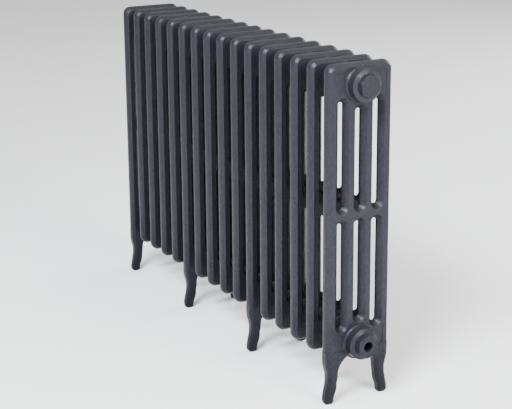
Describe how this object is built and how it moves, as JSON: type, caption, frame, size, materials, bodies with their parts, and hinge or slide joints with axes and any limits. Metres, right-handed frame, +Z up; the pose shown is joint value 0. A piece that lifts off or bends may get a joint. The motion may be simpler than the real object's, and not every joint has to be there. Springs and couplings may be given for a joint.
{
  "type": "cast iron column radiator",
  "caption": "Free-standing cast iron column radiator: hollow sections joined by nipples, with cabriole legs, a blank plug, reducing bushes and an air vent.",
  "frame": {"origin": "on the floor, under the middle of the row of sections", "axes": "+X along the row towards the end with the blank plug, front towards -Y, +Z up"},
  "size_m": [0.996, 0.1422, 0.66],
  "materials": {
    "casting": "dark anthracite grey satin paint over a finely pitted cast surface",
    "plug": "the same paint on turned and hexagonal faces",
    "nipple": "bare malleable iron",
    "gasket": "graphited fibre",
    "washer": "red fibre",
    "vent": "plated brass",
    "spindle": "bare brass"
  },
  "bodies": {
    "radiator": {"blank_plug": "plug", "end_gaskets_lower": "gasket", "end_gaskets_upper": "gasket", "far_reducing_bush": "plug", "joint_gaskets_lower": "gasket", "joint_gaskets_upper": "gasket", "near_reducing_bush": "plug", "nipple_lower_01": "nipple", "nipple_lower_02": "nipple", "nipple_lower_03": "nipple", "nipple_lower_04": "nipple", "nipple_lower_05": "nipple", "nipple_lower_06": "nipple", "nipple_lower_07": "nipple", "nipple_lower_08": "nipple", "nipple_lower_09": "nipple", "nipple_lower_10": "nipple", "nipple_lower_11": "nipple", "nipple_lower_12": "nipple", "nipple_lower_13": "nipple", "nipple_lower_14": "nipple", "nipple_lower_15": "nipple", "nipple_upper_01": "nipple", "nipple_upper_02": "nipple", "nipple_upper_03": "nipple", "nipple_upper_04": "nipple", "nipple_upper_05": "nipple", "nipple_upper_06": "nipple", "nipple_upper_07": "nipple", "nipple_upper_08": "nipple", "nipple_upper_09": "nipple", "nipple_upper_10": "nipple", "nipple_upper_11": "nipple", "nipple_upper_12": "nipple", "nipple_upper_13": "nipple", "nipple_upper_14": "nipple", "nipple_upper_15": "nipple", "section_01": "casting", "section_02": "casting", "section_03": "casting", "section_04": "casting", "section_05": "casting", "section_06": "casting", "section_07": "casting", "section_08": "casting", "section_09": "casting", "section_10": "casting", "section_11": "casting", "section_12": "casting", "section_13": "casting", "section_14": "casting", "section_15": "casting", "section_16": "casting", "vent_body": "vent", "vent_bush": "plug", "vent_washer": "washer"},
    "bleed_spindle": {"vent_spindle": "spindle"}
  },
  "joints": [
    {"name": "bleed_turn", "type": "hinge", "parent": "radiator", "child": "bleed_spindle", "pos_m": [-0.495, 0, 0.62], "axis": [-1, 0, 0], "range_deg": [0, 360]}
  ]
}
